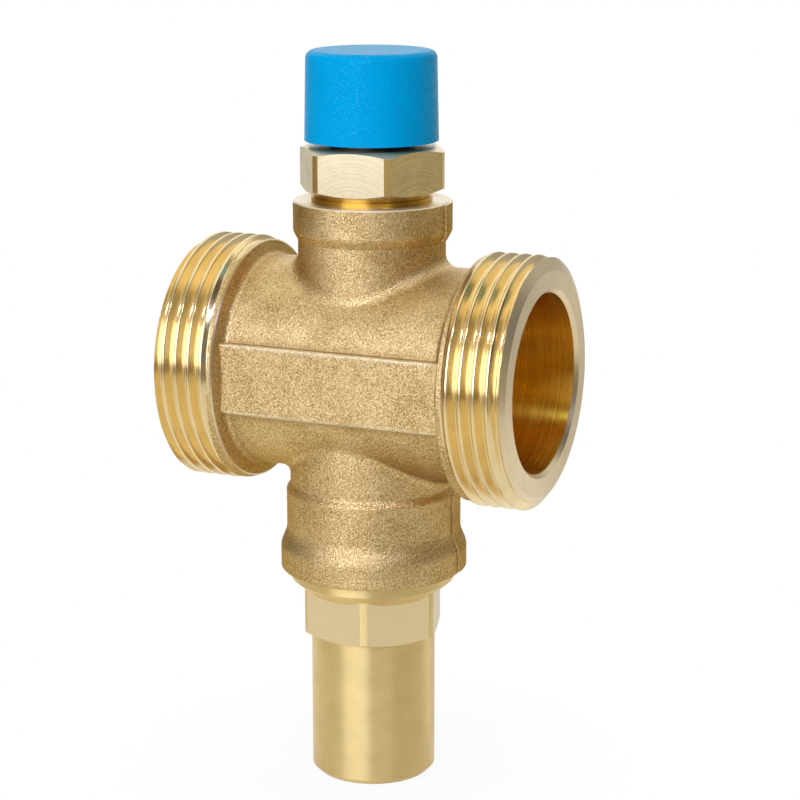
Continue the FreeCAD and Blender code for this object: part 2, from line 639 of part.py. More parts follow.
def element_cage():
    """Foot ring on the tail, legs outside the shutter and a bored plate that carries the element."""
    outer = TAIL_THREAD_DIAMETER / 2 - THREAD_FIT
    inner = outer - CAGE_WALL
    foot_high = spring_ledge + CAGE_FOOT_HEIGHT
    hub = GUIDE_DIAMETER / 2 + CAGE_HUB_WALL
    leg_height = cage_plate_high - foot_high
    leg = block((outer, CAGE_LEG_WIDTH, leg_height), (outer / 2, 0, foot_high + leg_height / 2))
    arm_middle = (cage_plate_low + cage_plate_high) / 2
    arm = block((outer, CAGE_LEG_WIDTH, CAGE_PLATE_THICKNESS), (outer / 2, 0, arm_middle))
    legs = around(leg, CAGE_LEGS, CAGE_LEG_TURN).common(tube(inner, outer, foot_high, cage_plate_high))
    arms = around(arm, CAGE_LEGS, CAGE_LEG_TURN).common(rod(outer, cage_plate_low, cage_plate_high))
    frame = tube(inner, outer, spring_ledge, foot_high)
    frame = frame.fuse([legs, arms, rod(hub, cage_plate_low, cage_plate_high)])
    return frame.cut(rod(GUIDE_DIAMETER / 2 + PIECE_GAP, cage_plate_low, cage_plate_high))


def element_guide():
    guide = GUIDE_DIAMETER / 2
    flange = GUIDE_FLANGE_DIAMETER / 2
    bore = PISTON_DIAMETER / 2 + RUNNING_FIT
    groove_low = cage_plate_low - CLIP_THICKNESS
    return turned([(bore, guide_low), (guide, guide_low), (guide, groove_low),
                   (guide - GUIDE_GROOVE_DEPTH, groove_low), (guide - GUIDE_GROOVE_DEPTH, cage_plate_low),
                   (guide, cage_plate_low), (guide, cage_plate_high), (flange, cage_plate_high),
                   (flange, cup_low), (guide, cup_low), (guide, guide_high), (bore, guide_high)])


def guide_clip():
    inner = GUIDE_DIAMETER / 2 - GUIDE_GROOVE_DEPTH + PIECE_GAP
    return split_ring(inner, CLIP_WALL, cage_plate_low - CLIP_THICKNESS, cage_plate_low)


def element_cup():
    """Closed cup over the guide, with room above it for the piston's stroke."""
    outer = GUIDE_FLANGE_DIAMETER / 2
    cup = rod(outer, cup_low, cup_high)
    cup = cup.makeFillet(CUP_NOSE_RADIUS, ring_edges(cup, outer, cup_high))
    mouth = rod(GUIDE_DIAMETER / 2 + PIECE_GAP, cup_low, guide_high)
    stroke_room = rod(PISTON_DIAMETER / 2 + LOOSE_FIT, guide_high, piston_high + SHUTTER_LIFT + LOOSE_FIT)
    return cup.cut([mouth, stroke_room])


def element_piston():
    return rod(PISTON_DIAMETER / 2, piston_low, piston_high)


PIECES = [valve_body, drain_tail, tail_o_ring, breaker_housing, breaker_o_ring, breaker_cap, breaker_poppet,
          poppet_seal, breaker_spring, spring_keeper, keeper_clip, drain_shutter, shutter_seal, seal_washer,
          seal_screw, return_spring, element_cage, element_guide, guide_clip, element_cup, element_piston]

os.makedirs("parts", exist_ok=True)
for piece in PIECES:
    solid = piece()
    solid.exportStep(f"parts/{piece.__name__}.step")
    print(piece.__name__, len(solid.Solids), "solids", round(solid.Volume, 1), "mm3, valid", solid.isValid())
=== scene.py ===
import math

import bpy
import numpy as np
from mathutils import Matrix, Vector


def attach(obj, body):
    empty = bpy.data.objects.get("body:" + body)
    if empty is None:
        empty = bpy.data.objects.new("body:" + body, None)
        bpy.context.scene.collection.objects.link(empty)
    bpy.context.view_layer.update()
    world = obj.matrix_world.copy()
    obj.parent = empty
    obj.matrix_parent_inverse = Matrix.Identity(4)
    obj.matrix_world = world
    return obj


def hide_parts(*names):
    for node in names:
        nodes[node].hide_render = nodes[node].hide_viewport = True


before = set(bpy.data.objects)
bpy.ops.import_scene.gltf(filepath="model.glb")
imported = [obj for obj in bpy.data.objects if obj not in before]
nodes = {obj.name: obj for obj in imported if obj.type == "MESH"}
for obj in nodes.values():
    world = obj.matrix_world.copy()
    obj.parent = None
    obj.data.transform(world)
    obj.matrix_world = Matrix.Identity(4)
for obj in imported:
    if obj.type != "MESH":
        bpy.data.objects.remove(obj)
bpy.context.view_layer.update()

# Looks of the anti-freeze valve: cut threads on both ports, cast, turned and milled brass, and a soft studio.
# Lengths are in metres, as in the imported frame.

MM = 0.001

# Pipe ports, as in the part's source.
PORT_AXIS = 71.0 * MM
PORT_REACH = 31.25 * MM
SHOULDER_RADIUS = 20.35 * MM
SHOULDER_EDGE = 20.15 * MM
THREAD_RADIUS = 20.955 * MM
FACE_RADIUS = 18.6 * MM
END_CHAMFER = 1.0 * MM

# Thread form. Crests rise and grooves sink over these distances along the pipe, where the thread starts.
PITCH = 2.309 * MM
THREAD_DEPTH = 1.479 * MM
CREST_FLAT = 0.36 * MM
FLANK_ANGLE = 27.5
CREST_ROUNDING = 0.16 * MM
ROOT_ROUNDING = 0.5 * MM
CREST_START = (20.9 * MM, 21.3 * MM)
GROOVE_START = (20.8 * MM, 21.3 * MM)
OUTLET_CREST = 21.45 * MM
INLET_CREST = -22.2 * MM

# Mesh of the threads: its density, and where in a face the corner normals are taken.
COLUMNS_PER_PITCH = 28
STEPS_AROUND = 288
THINNEST_FACE = 1e-7
CORNER_SHARE = 0.8
NORMAL_NUDGE = 0.004 * MM

# Zones of the casting that were machined.
BORE_RADII = (14.8 * MM, 15.7 * MM)
BORE_FROM_MIDDLE = 8.0 * MM
BOSS_BORE_RADIUS = 13.2 * MM
BOSS_BORE_FROM_PIPE = 15.1 * MM
END_BAND = 0.7 * MM
SHOULDER_BEVEL = (19.85 * MM, 20.16 * MM)
SHOULDER_BEVEL_RADIUS = 20.0 * MM
LOWER_FACE = 36.5 * MM
UPPER_FACE = 99.5 * MM
UPPER_EDGE = 0.2 * MM

# Zones of the threads that stayed cast. The run-out widens towards the bottom.
UNCUT_REACH = 22.2 * MM
RUN_OUT_REACH = 20.6 * MM
RUN_OUT_SLOPE = 0.05

# Heights of the spanner hexes, and a hex's half width across flats.
TAIL_HEX = (25.0 * MM, 33.4 * MM)
BREAKER_HEX = (101.0 * MM, 108.5 * MM)
HEX_FLAT = 11.0 * MM

# How near counts as on a zone's edge, a hex flat, the end chamfer, the end face's rim and the end face,
# and how large the upward part of a normal may be on an upright face.
SLACK = 0.05 * MM
FLAT_SLACK = 0.01 * MM
CHAMFER_SLACK = 0.03 * MM
FACE_SLACK = 0.1 * MM
END_SLACK = 0.001 * MM
UPRIGHT = 0.01
NEARLY_UPRIGHT = 0.1

# The raised pad on the casting's front, with a painted highlight of paler brass along its edges and painted
# shade of darker brass in the creases beside it.
PAD_HALF_HEIGHT = 6.0 * MM
PAD_HALF_LENGTH = 18.5 * MM
PAD_FRONT = -17.6 * MM
PAD_BACK = -12.0 * MM
EDGE_BAND = (PAD_HALF_HEIGHT - 0.9 * MM, PAD_HALF_HEIGHT - 0.3 * MM)
CREASE_BAND = (PAD_HALF_HEIGHT, PAD_HALF_HEIGHT + 1.6 * MM)
PAINTED_EDGE_HIGHLIGHT = 0.3
PAINTED_CREASE_SHADE = 0.5

# Colours of the casting.
# Brass of the pits, partly their own colour and partly painted shade; also the painted shade in the creases
# beside the pad.
PIT_AND_SHADE_BROWN = (0.34, 0.20, 0.06)
CAST_GOLD = (0.68, 0.465, 0.175)
GRAIN_GOLD = (0.94, 0.72, 0.36)
# Painted highlight along the pad's edges.
HIGHLIGHT_GOLD = (0.98, 0.88, 0.62)
# Painted shade: brown tint of reflections on the casting's sides, fading to white on upward faces.
SIDE_SHADE_BROWN = (0.5, 0.34, 0.14)
WHITE = (1.0, 1.0, 1.0)

# Nearly all values of a noise lie in the wide span, and most in the narrow one. Brass goes from its
# stained shade to its full colour over the tone span.
WIDE_SPAN = (0.3, 0.7)
NARROW_SPAN = (0.35, 0.65)
TONE_SPAN = (0.36, 0.6)
STAIN_SHADE = 0.9


def feed(tree, socket, value):
    """Links a socket to another one, or sets it to a value."""
    if isinstance(value, bpy.types.NodeSocket):
        tree.links.new(value, socket)
    else:
        socket.default_value = value


def node(tree, kind, inputs=None, **settings):
    """New shader node with its settings and its inputs."""
    made = tree.nodes.new("ShaderNode" + kind)
    for name, value in settings.items():
        setattr(made, name, value)
    for socket, value in (inputs or {}).items():
        feed(tree, made.inputs[socket], value)
    return made


def maths(tree, operation, first, second=0.0):
    return node(tree, "Math", {0: first, 1: second}, operation=operation).outputs[0]


def vector_maths(tree, operation, first, second=(0, 0, 0)):
    made = node(tree, "VectorMath", {0: first, 1: second}, operation=operation)
    return made.outputs["Value" if operation in ("LENGTH", "DOT_PRODUCT") else "Vector"]


def split(tree, vector):
    """The three parts of a vector."""
    return node(tree, "SeparateXYZ", {0: vector}).outputs


def place(tree):
    """A point's place on the object, which is the same in every view."""
    return node(tree, "TexCoord").outputs["Object"]


def noise(tree, where, grain, detail, roughness):
    """Noise from 0 to 1 with blobs about as large as the grain."""
    inputs = {"Vector": where, "Scale": 1 / grain, "Detail": detail, "Roughness": roughness}
    return node(tree, "TexNoise", inputs).outputs["Fac"]


def blended(tree, *parts):
    """Sum of values, each times its share."""
    total = 0.0
    for value, share in parts:
        total = maths(tree, "ADD", maths(tree, "MULTIPLY", value, share), total)
    return total


def remap(tree, value, span, target, smooth=False):
    """Value carried from a span to a target span, and held at its ends."""
    inputs = {"Value": value, "From Min": span[0], "From Max": span[1],
              "To Min": target[0], "To Max": target[1]}
    kind = "SMOOTHSTEP" if smooth else "LINEAR"
    return node(tree, "MapRange", inputs, interpolation_type=kind).outputs["Result"]


def step(tree, value, span):
    """Smooth step from 0 to 1 over a span."""
    return remap(tree, value, span, (0.0, 1.0), smooth=True)


def ramp(tree, value, stops):
    """Colour from a list of positions and colours."""
    made = node(tree, "ValToRGB", {"Fac": value})
    band = made.color_ramp
    while len(band.elements) < len(stops):
        band.elements.new(0.5)
    for element, (position, colour) in zip(band.elements, stops):
        element.position = position
        element.color = (*colour, 1)
    return made.outputs["Color"]


def between(tree, value, span, first, second):
    """Colour that goes from the first to the second over a span."""
    return ramp(tree, value, [(span[0], first), (span[1], second)])


def mixed(tree, factor, first, second):
    return node(tree, "Mix", {0: factor, 6: first, 7: second}, data_type="RGBA").outputs[2]


def bump(tree, height, depth, strength):
    return node(tree, "Bump", {"Height": height, "Distance": depth, "Strength": strength}).outputs["Normal"]


def bare_material(name):
    """Material with an empty node tree."""
    made = bpy.data.materials.new(name)
    made.use_nodes = True
    made.node_tree.nodes.clear()
    return made, made.node_tree


def material(name):
    """Material with a Principled shader and its output."""
    made, tree = bare_material(name)
    shader = node(tree, "BsdfPrincipled")
    node(tree, "OutputMaterial", {"Surface": shader.outputs["BSDF"]})
    return made, tree, shader


def plug(tree, shader, **sockets):
    """Sets or links the shader's sockets, named with underscores for spaces."""
    for name, value in sockets.items():
        feed(tree, shader.inputs[name.replace("_", " ")], value)


def pad_painted_light(tree, where, colour):
    """Painted highlight of paler brass along the pad's edges, and painted shade of darker brass in the
    creases beside it.
    """
    x, y, z = split(tree, where)
    from_middle = maths(tree, "ABSOLUTE", maths(tree, "SUBTRACT", z, PORT_AXIS))
    along = maths(tree, "LESS_THAN", maths(tree, "ABSOLUTE", x), PAD_HALF_LENGTH)
    on_pad = maths(tree, "MULTIPLY", along, maths(tree, "LESS_THAN", y, PAD_FRONT))
    in_front = maths(tree, "MULTIPLY", along, maths(tree, "LESS_THAN", y, PAD_BACK))
    beside = maths(tree, "SUBTRACT", in_front, on_pad)
    edge = remap(tree, from_middle, EDGE_BAND, (0.0, PAINTED_EDGE_HIGHLIGHT), smooth=True)
    crease = remap(tree, from_middle, CREASE_BAND, (PAINTED_CREASE_SHADE, 0.0), smooth=True)
    colour = mixed(tree, maths(tree, "MULTIPLY", on_pad, edge), colour, (*HIGHLIGHT_GOLD, 1))
    return mixed(tree, maths(tree, "MULTIPLY", beside, crease), colour, (*PIT_AND_SHADE_BROWN, 1))


def cast_brass():
    """Sand-blasted casting: bright fine grain over darker pits that are partly painted shade, and a painted
    sheen, pale on upward faces and browner on the sides.
    """
    made, tree, shader = material("cast_brass_surface")
    where = place(tree)
    grain = noise(tree, where, 0.28 * MM, detail=2.0, roughness=0.6)
    fine = noise(tree, where, 0.16 * MM, detail=1.0, roughness=0.5)
    tone = noise(tree, where, 6 * MM, detail=3.0, roughness=0.55)
    height = blended(tree, (grain, 1.0), (fine, 0.7))
    shade = blended(tree, (grain, 0.4), (fine, 0.45), (tone, 0.15))
    # The darker pits are partly painted shade.
    colour = ramp(tree, shade, [(0.39, PIT_AND_SHADE_BROWN), (0.5, CAST_GOLD), (0.6, GRAIN_GOLD)])
    upward = split(tree, node(tree, "NewGeometry").outputs["Normal"])[2]
    plug(tree, shader,
         Base_Color=pad_painted_light(tree, where, colour),
         Metallic=0.9,
         Specular_IOR_Level=0.2,
         # Painted sheen: reflections white on upward faces and browner on the sides.
         Specular_Tint=between(tree, upward, (0.3, 0.8), SIDE_SHADE_BROWN, WHITE),
         Roughness=remap(tree, fine, NARROW_SPAN, (0.46, 0.26)),
         Normal=bump(tree, height, 0.1 * MM, strength=1.0))
    return made


def turned_brass(name, colour, axis, centre, roughness, anisotropy):
    """Turned brass: fine tool lines round an axis, which draw the highlights out across them."""
    made, tree, shader = material(name)
    where = place(tree)
    arm = vector_maths(tree, "SUBTRACT", where, centre)
    along = vector_maths(tree, "DOT_PRODUCT", arm, axis)
    round_axis = vector_maths(tree, "CROSS_PRODUCT", axis, arm)
    radius = vector_maths(tree, "LENGTH", round_axis)
    lines_place = node(tree, "CombineXYZ", {0: along, 1: radius, 2: 0.0}).outputs[0]
    lines = noise(tree, lines_place, 0.12 * MM, detail=3.0, roughness=0.6)
    stain = noise(tree, where, 4 * MM, detail=3.0, roughness=0.55)
    tone = blended(tree, (lines, 0.4), (stain, 0.6))
    dark = tuple(part * STAIN_SHADE for part in colour)
    plug(tree, shader,
         Base_Color=between(tree, tone, TONE_SPAN, dark, colour),
         Metallic=1.0,
         Roughness=remap(tree, lines, NARROW_SPAN, roughness),
         Anisotropic=anisotropy,
         Anisotropic_Rotation=0.25,
         Tangent=round_axis,
         Normal=bump(tree, lines, 0.0008 * MM, strength=0.6))
    return made


def pipe_brass(name, colour, roughness, anisotropy):
    """Brass turned about the pipe's axis."""
    return turned_brass(name, colour, (1, 0, 0), (0, 0, PORT_AXIS), roughness, anisotropy)


def upright_brass(name, colour, roughness, anisotropy):
    """Brass turned about the upright axis."""
    return turned_brass(name, colour, (0, 0, 1), (0, 0, 0), roughness, anisotropy)


def milled_brass(name, colour, arc_centre, shade, depth, roughness):
    """Hex flats with the arcs that a face mill leaves about a height on the axis."""
    made, tree, shader = material(name)
    where = place(tree)
    arm = vector_maths(tree, "SUBTRACT", where, (0, 0, arc_centre))
    reach = vector_maths(tree, "LENGTH", arm)
    arcs_place = node(tree, "CombineXYZ", {0: reach, 1: 0.0, 2: 0.0}).outputs[0]
    arcs = noise(tree, arcs_place, 0.36 * MM, detail=3.0, roughness=0.6)
    stain = noise(tree, where, 3 * MM, detail=3.0, roughness=0.55)
    tone = blended(tree, (arcs, 0.75), (stain, 0.25))
    dark = tuple(part * shade for part in colour)
    plug(tree, shader,
         Base_Color=between(tree, tone, TONE_SPAN, dark, colour),
         Metallic=1.0,
         Roughness=remap(tree, tone, NARROW_SPAN, roughness),
         Normal=bump(tree, arcs, depth, strength=0.8))
    return made


def blue_plastic():
    """Moulded cap with a fine pebble that glints on its peaks, and a faint change of tone."""
    made, tree, shader = material("blue_plastic_surface")
    where = place(tree)
    pebble = noise(tree, where, 0.22 * MM, detail=1.0, roughness=0.5)
    tone = noise(tree, where, 4 * MM, detail=2.0, roughness=0.5)
    shade = blended(tree, (pebble, 0.7), (tone, 0.3))
    plug(tree, shader,
         Base_Color=between(tree, shade, WIDE_SPAN, (0.0, 0.32, 0.55), (0.0, 0.37, 0.62)),
         Roughness=remap(tree, pebble, WIDE_SPAN, (0.28, 0.16)),
         Specular_IOR_Level=remap(tree, pebble, (0.52, 0.72), (0.01, 0.45)),
         Specular_Tint=(0.5, 0.85, 1.0, 1),
         Normal=bump(tree, pebble, 0.09 * MM, strength=1.0))
    return made


def black_rubber():
    """Moulded rubber with a dull bloom."""
    made, tree, shader = material("black_rubber_surface")
    bloom = noise(tree, place(tree), 0.8 * MM, detail=4.0, roughness=0.6)
    plug(tree, shader,
         Base_Color=between(tree, bloom, (0.35, 0.7), (0.012, 0.012, 0.012), (0.04, 0.04, 0.042)),
         Roughness=remap(tree, bloom, WIDE_SPAN, (0.55, 0.75)),
         Normal=bump(tree, bloom, 0.02 * MM, strength=0.5))
    return made


def spring_steel():
    """Drawn stainless wire and turned steel with fine scratches, close together in height."""
    made, tree, shader = material("spring_steel_surface")
    squeezed = node(tree, "Mapping", {"Vector": place(tree), "Scale": (1, 1, 6)}).outputs["Vector"]
    scratches = noise(tree, squeezed, 0.3 * MM, detail=3.0, roughness=0.6)
    plug(tree, shader,
         Base_Color=between(tree, scratches, WIDE_SPAN, (0.42, 0.42, 0.43), (0.66, 0.66, 0.67)),
         Metallic=1.0,
         Roughness=remap(tree, scratches, WIDE_SPAN, (0.34, 0.2)),
         Normal=bump(tree, scratches, 0.004 * MM, strength=0.5))
    return made


def smooth_step(value, low, high):
    share = np.clip((value - low) / (high - low), 0, 1)
    return share * share * (3 - 2 * share)


def smooth_max(first, second, rounding):
    overlap = np.maximum(rounding - np.abs(first - second), 0)
    return np.maximum(first, second) + overlap ** 2 / (4 * rounding)


def end_cone(out):
    """Radius of the chamfer at the thread's end, at a distance out along the pipe."""
    return THREAD_RADIUS - (THREAD_RADIUS - FACE_RADIUS) / END_CHAMFER * (out - PORT_REACH + END_CHAMFER)


def thread_radius(along, turn, crest):
    """Radius of the cut thread at a distance along the pipe and a turn about it, as arrays."""
    side = math.copysign(1, crest)
    first = crest + PITCH * (turn / (2 * math.pi) - 0.25)
    crest_place = first + PITCH * np.round((along - first) / PITCH)
    offset = along - crest_place
    groove_place = crest_place + np.where(offset < 0, -0.5, 0.5) * PITCH
    slope = 1 / math.tan(math.radians(FLANK_ANGLE))
    depth = smooth_max((np.abs(offset) - CREST_FLAT / 2) * slope, 0, CREST_ROUNDING)
    depth = np.clip(-smooth_max(-depth, -THREAD_DEPTH, ROOT_ROUNDING), 0, THREAD_DEPTH)
    raise_crest = THREAD_RADIUS - SHOULDER_RADIUS
    sink_groove = THREAD_DEPTH - raise_crest
    high = SHOULDER_RADIUS + raise_crest * smooth_step(side * crest_place, *CREST_START)
    low = SHOULDER_RADIUS - sink_groove * smooth_step(side * groove_place, *GROOVE_START)
    cut = low + (high - low) * (1 - depth / THREAD_DEPTH)
    return np.minimum(cut, end_cone(side * along))


def on_pipe(along, turn, radius):
    """Points at distances along the pipe, turns about it and radii from its axis."""
    return np.stack([along, radius * np.cos(turn), PORT_AXIS + radius * np.sin(turn)], axis=-1)


def thread_normals(along, turn, crest):
    """Unit normals of the thread's surface."""
    swing = NORMAL_NUDGE / THREAD_RADIUS
    radius = thread_radius(along, turn, crest)
    further = thread_radius(along + NORMAL_NUDGE, turn, crest)
    nearer = thread_radius(along - NORMAL_NUDGE, turn, crest)
    lean = (further - nearer) / (2 * NORMAL_NUDGE)
    later = thread_radius(along, turn + swing, crest)
    sooner = thread_radius(along, turn - swing, crest)
    twist = (later - sooner) / (2 * swing)
    sideways = np.stack([np.zeros_like(turn), -np.sin(turn), np.cos(turn)], axis=-1)
    outward = np.stack([np.zeros_like(turn), np.cos(turn), np.sin(turn)], axis=-1)
    normals = outward - sideways * (twist / radius)[..., None]
    normals[..., 0] = -lean
    return normals / np.linalg.norm(normals, axis=-1, keepdims=True)


def smooth_piece(name, points, faces, normals):
    """New object with smooth faces and a given normal at each of their corners."""
    mesh = bpy.data.meshes.new(name)
    mesh.from_pydata(points, [], faces)
    mesh.polygons.foreach_set("use_smooth", [True] * len(mesh.polygons))
    mesh.normals_split_custom_set(normals)
    piece = bpy.data.objects.new(name, mesh)
    bpy.context.collection.objects.link(piece)
    return piece


def thread_sleeve(name, crest):
    """One port's thread as a skin from the shoulder to the end face, with columns that follow the helix."""
    side = math.copysign(1, crest)
    reach = sorted((side * SHOULDER_EDGE, side * PORT_REACH))
    spacing = PITCH / COLUMNS_PER_PITCH
    columns = np.arange(reach[0] - PITCH, reach[1] + PITCH, spacing)
    columns = crest + np.round((columns - crest) / spacing) * spacing
    turns = np.linspace(0, 2 * math.pi, STEPS_AROUND + 1)
    along = np.clip(columns[None, :] + PITCH * (turns[:, None] / (2 * math.pi) - 0.25), *reach)
    turn = np.broadcast_to(turns[:, None], along.shape)
    points = on_pipe(along, turn, thread_radius(along, turn, crest))
    index = np.arange(along.size).reshape(along.shape)
    around = [index[:-1, :-1], index[:-1, 1:], index[1:, 1:], index[1:, :-1]]
    corners = np.stack(around, axis=-1).reshape(-1, 4)
    widths = np.abs(along.ravel()[corners[:, (1, 2)]] - along.ravel()[corners[:, (0, 3)]])
    corners = corners[(widths > THINNEST_FACE).all(axis=1)]
    corner_along = along.ravel()[corners]
    corner_turn = turn.ravel()[corners]
    middle_along = corner_along.mean(axis=1, keepdims=True)
    middle_turn = corner_turn.mean(axis=1, keepdims=True)
    inner_along = corner_along * CORNER_SHARE + middle_along * (1 - CORNER_SHARE)
    inner_turn = corner_turn * CORNER_SHARE + middle_turn * (1 - CORNER_SHARE)
    normals = thread_normals(inner_along, inner_turn, crest)
    faces = corners[:, ::-1].tolist()
    return smooth_piece(name, points.reshape(-1, 3).tolist(), faces, normals[:, ::-1].reshape(-1, 3).tolist())


def polygon_places(mesh):
    """Middles and normals of a mesh's polygons, as arrays."""
    middles = np.empty(len(mesh.polygons) * 3)
    normals = np.empty(len(mesh.polygons) * 3)
    mesh.polygons.foreach_get("center", middles)
    mesh.polygons.foreach_get("normal", normals)
    return middles.reshape(-1, 3), normals.reshape(-1, 3)


def body_skin(name):
    """The casting's own surface without the ringed port ends that the threads take the place of."""
    source = nodes["valve_body"].data
    middles, _ = polygon_places(source)
    from_pipe = np.hypot(middles[:, 1], middles[:, 2] - PORT_AXIS)
    out = np.abs(middles[:, 0])
    ringed = (out > SHOULDER_EDGE) & (out < PORT_REACH - END_SLACK) & (from_pipe > FACE_RADIUS - FACE_SLACK)
    kept = [polygon for polygon in source.polygons if not ringed[polygon.index]]
    points = [vertex.co for vertex in source.vertices]
    faces = [tuple(polygon.vertices) for polygon in kept]
    normals = [source.corner_normals[corner].vector for polygon in kept for corner in polygon.loop_indices]
    return smooth_piece(name, points, faces, normals)


def dress(piece, plain, *choices):
    """Gives a piece a plain material, and others on the polygons that their masks choose. Later ones win."""
    mesh = piece.data
    mesh.materials.clear()
    mesh.materials.append(plain)
    numbers = np.zeros(len(mesh.polygons), dtype=np.int32)
    for number, (made, chosen) in enumerate(choices, start=1):
        mesh.materials.append(made)
        numbers[chosen] = number
    mesh.polygons.foreach_set("material_index", numbers)
    mesh.update()


cast = cast_brass()
port_brass = pipe_brass("port_brass", (0.89, 0.73, 0.45), roughness=(0.34, 0.42), anisotropy=0.6)
# Brass deepened to a dark amber: painted shade and inner reflection of the bore.
bore_shade_brass = pipe_brass("bore_shade_brass", (0.95, 0.645, 0.07), roughness=(0.22, 0.3), anisotropy=0.9)
thread_brass = pipe_brass("thread_brass", (0.93, 0.735, 0.38), roughness=(0.16, 0.24), anisotropy=0.6)
# Painted shade: darker amber brass on the neck under the breaker hex.
neck_shade_brass = upright_brass("neck_shade_brass", (0.7, 0.4, 0.06), roughness=(0.28, 0.36), anisotropy=0.8)
ring_brass = upright_brass("ring_brass", (0.92, 0.8, 0.56), roughness=(0.3, 0.38), anisotropy=0.8)
# Painted shade: darker amber brass on the breaker hex's turned corner lands.
corner_shade_brass = upright_brass("corner_shade_brass", (0.84, 0.58, 0.2), roughness=(0.3, 0.38), anisotropy=0.8)
spigot_brass = upright_brass("spigot_brass", (0.88, 0.66, 0.27), roughness=(0.32, 0.4), anisotropy=0.92)
# Painted shade: near-black brass in the gap under the cap.
painted_gap_shade = upright_brass("painted_gap_shade", (0.12, 0.07, 0.03), roughness=(0.4, 0.5), anisotropy=0.6)
inner_brass = upright_brass("inner_brass", (0.82, 0.63, 0.31), roughness=(0.28, 0.36), anisotropy=0.6)
flat_brass = milled_brass("flat_brass", (0.86, 0.69, 0.37), arc_centre=96 * MM, shade=0.76,
                          depth=0.009 * MM, roughness=(0.30, 0.22))
tail_flat_brass = milled_brass("tail_flat_brass", (0.85, 0.67, 0.37), arc_centre=10 * MM, shade=0.97,
                               depth=0.0006 * MM, roughness=(0.27, 0.25))
plastic = blue_plastic()
rubber = black_rubber()
steel = spring_steel()

# The casting, with its machined bores, port ends, shoulder edges and boss faces.
body = body_skin("body_casting")
middles, normals = polygon_places(body.data)
x, y, z = middles.T
normal_x, normal_y, normal_z = normals.T
from_pipe = np.hypot(y, z - PORT_AXIS)
from_z = np.hypot(x, y)
out = np.abs(x)
towards_pipe = normal_y * y + normal_z * (z - PORT_AXIS) < 0
towards_z = normal_x * x + normal_y * y < 0
at_bore = (from_pipe > BORE_RADII[0]) & (from_pipe < BORE_RADII[1])
in_bore = at_bore & towards_pipe & (from_z > BORE_FROM_MIDDLE)
on_end = out > PORT_REACH - END_BAND
on_bevel = (out > SHOULDER_BEVEL[0]) & (out < SHOULDER_BEVEL[1]) & (from_pipe > SHOULDER_BEVEL_RADIUS)
on_boss_face = (z > UPPER_FACE - UPPER_EDGE - SLACK) | (z < LOWER_FACE + SLACK)
upright = np.abs(normal_z) < NEARLY_UPRIGHT
in_boss = towards_z & upright & (from_z < BOSS_BORE_RADIUS) & (from_pipe > BOSS_BORE_FROM_PIPE)
dress(body, cast,
      (bore_shade_brass, in_bore), (port_brass, on_end | on_bevel), (ring_brass, on_boss_face | in_boss))
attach(body, "housing")

# The two threads, with cast run-outs and turned end chamfers.
sleeves = []
for name, crest in (("outlet_thread_skin", OUTLET_CREST), ("inlet_thread_skin", INLET_CREST)):
    sleeve = thread_sleeve(name, crest)
    middles, _ = polygon_places(sleeve.data)
    x, y, z = middles.T
    from_pipe = np.hypot(y, z - PORT_AXIS)
    out = np.abs(x)
    run_out = out - RUN_OUT_REACH < RUN_OUT_SLOPE * (PORT_AXIS - z)
    uncut = (out < UNCUT_REACH) & (np.abs(from_pipe - SHOULDER_RADIUS) < SLACK)
    faced = np.abs(from_pipe - end_cone(out)) < CHAMFER_SLACK
    dress(sleeve, thread_brass, (cast, run_out | uncut), (port_brass, faced))
    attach(sleeve, "housing")
    sleeves.append(sleeve)
for piece in [body] + sleeves:
    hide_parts("valve_body")

# The drain tail, the vacuum breaker and all other pieces keep their own solids.
hexes = (("drain_tail", spigot_brass, tail_flat_brass, spigot_brass, TAIL_HEX),
         ("breaker_housing", ring_brass, flat_brass, corner_shade_brass, BREAKER_HEX))
for name, turned_part, flats, corners, (low, high) in hexes:
    middles, normals = polygon_places(nodes[name].data)
    height = middles[:, 2]
    upright = np.abs(normals[:, 2]) < UPRIGHT
    plane = (middles * normals).sum(axis=1)
    in_hex = upright & (height > low) & (height < high)
    on_flat = in_hex & (np.abs(plane - HEX_FLAT) < FLAT_SLACK)
    # Painted shade on the neck under the breaker hex.
    on_neck = (height > UPPER_FACE - SLACK) & (height < BREAKER_HEX[0] - SLACK)
    # Painted shade in the gap under the cap.
    in_groove = upright & (height > BREAKER_HEX[1] + SLACK)
    # Painted shade on the breaker hex's corner lands.
    on_corner = in_hex & (plane > HEX_FLAT + FLAT_SLACK)
    dress(nodes[name], turned_part,
          (flats, on_flat), (neck_shade_brass, on_neck), (painted_gap_shade, in_groove), (corners, on_corner))

dress(nodes["breaker_cap"], plastic)
finishes = {"turned_brass": inner_brass, "black_rubber": rubber, "spring_steel": steel}
for name, obj in nodes.items():
    if name not in ("valve_body", "drain_tail", "breaker_housing", "breaker_cap"):
        dress(obj, finishes[obj.data.materials[0].name])


def grey(level):
    return (level, level, level)


